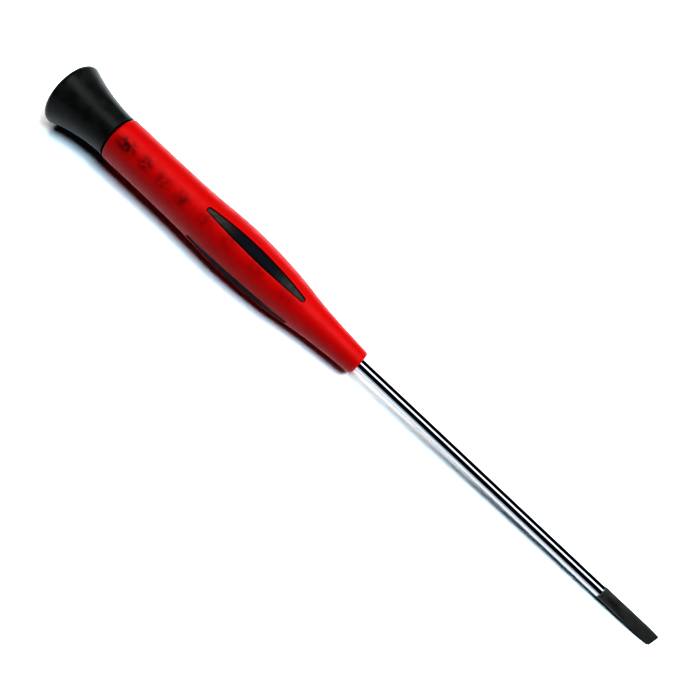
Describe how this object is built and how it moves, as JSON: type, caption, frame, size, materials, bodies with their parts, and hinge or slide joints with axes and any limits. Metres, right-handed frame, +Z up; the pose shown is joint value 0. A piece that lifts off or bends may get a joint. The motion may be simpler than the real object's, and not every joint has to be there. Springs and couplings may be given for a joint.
{
  "type": "precision slotted screwdriver",
  "caption": "Precision slotted screwdriver with a free-turning palm cap, a waisted handle with lens-shaped grip pads and a round shank ground to a flat tip.",
  "frame": {"origin": "on the tool's axis, at the nose face of the handle, where the bare shank starts", "axes": "+X along the blade towards its tip; +Z up as the tool lies, through the middle of a grip window, with the opposite window facing down where the handle rests; +Y completes the frame"},
  "size_m": [0.1993, 0.0174, 0.0174],
  "materials": {
    "blade_steel": "bright chrome plate on a round shank, with a black-oxidised tip",
    "core_plastic": "hard black moulding",
    "sleeve_plastic": "satin red moulding, lightly rubbed",
    "pad_rubber": "soft matt black",
    "swivel_steel": "turned steel",
    "bush_brass": "turned brass",
    "cap_plastic": "semi-gloss black moulding"
  },
  "bodies": {
    "handle": {"blade": "blade_steel", "handle_core": "core_plastic", "handle_sleeve": "sleeve_plastic", "grip_pad_1": "pad_rubber", "grip_pad_2": "pad_rubber", "grip_pad_3": "pad_rubber", "grip_pad_4": "pad_rubber", "swivel_pin": "swivel_steel", "thrust_washer": "swivel_steel"},
    "cap": {"cap_shell": "cap_plastic", "cap_end_disc": "cap_plastic", "swivel_bush": "bush_brass", "head_washer": "swivel_steel"}
  },
  "joints": [
    {"name": "cap_spin", "type": "hinge", "parent": "handle", "child": "cap", "pos_m": [-0.0816, 0, 0], "axis": [1, 0, 0], "continuous": true}
  ]
}
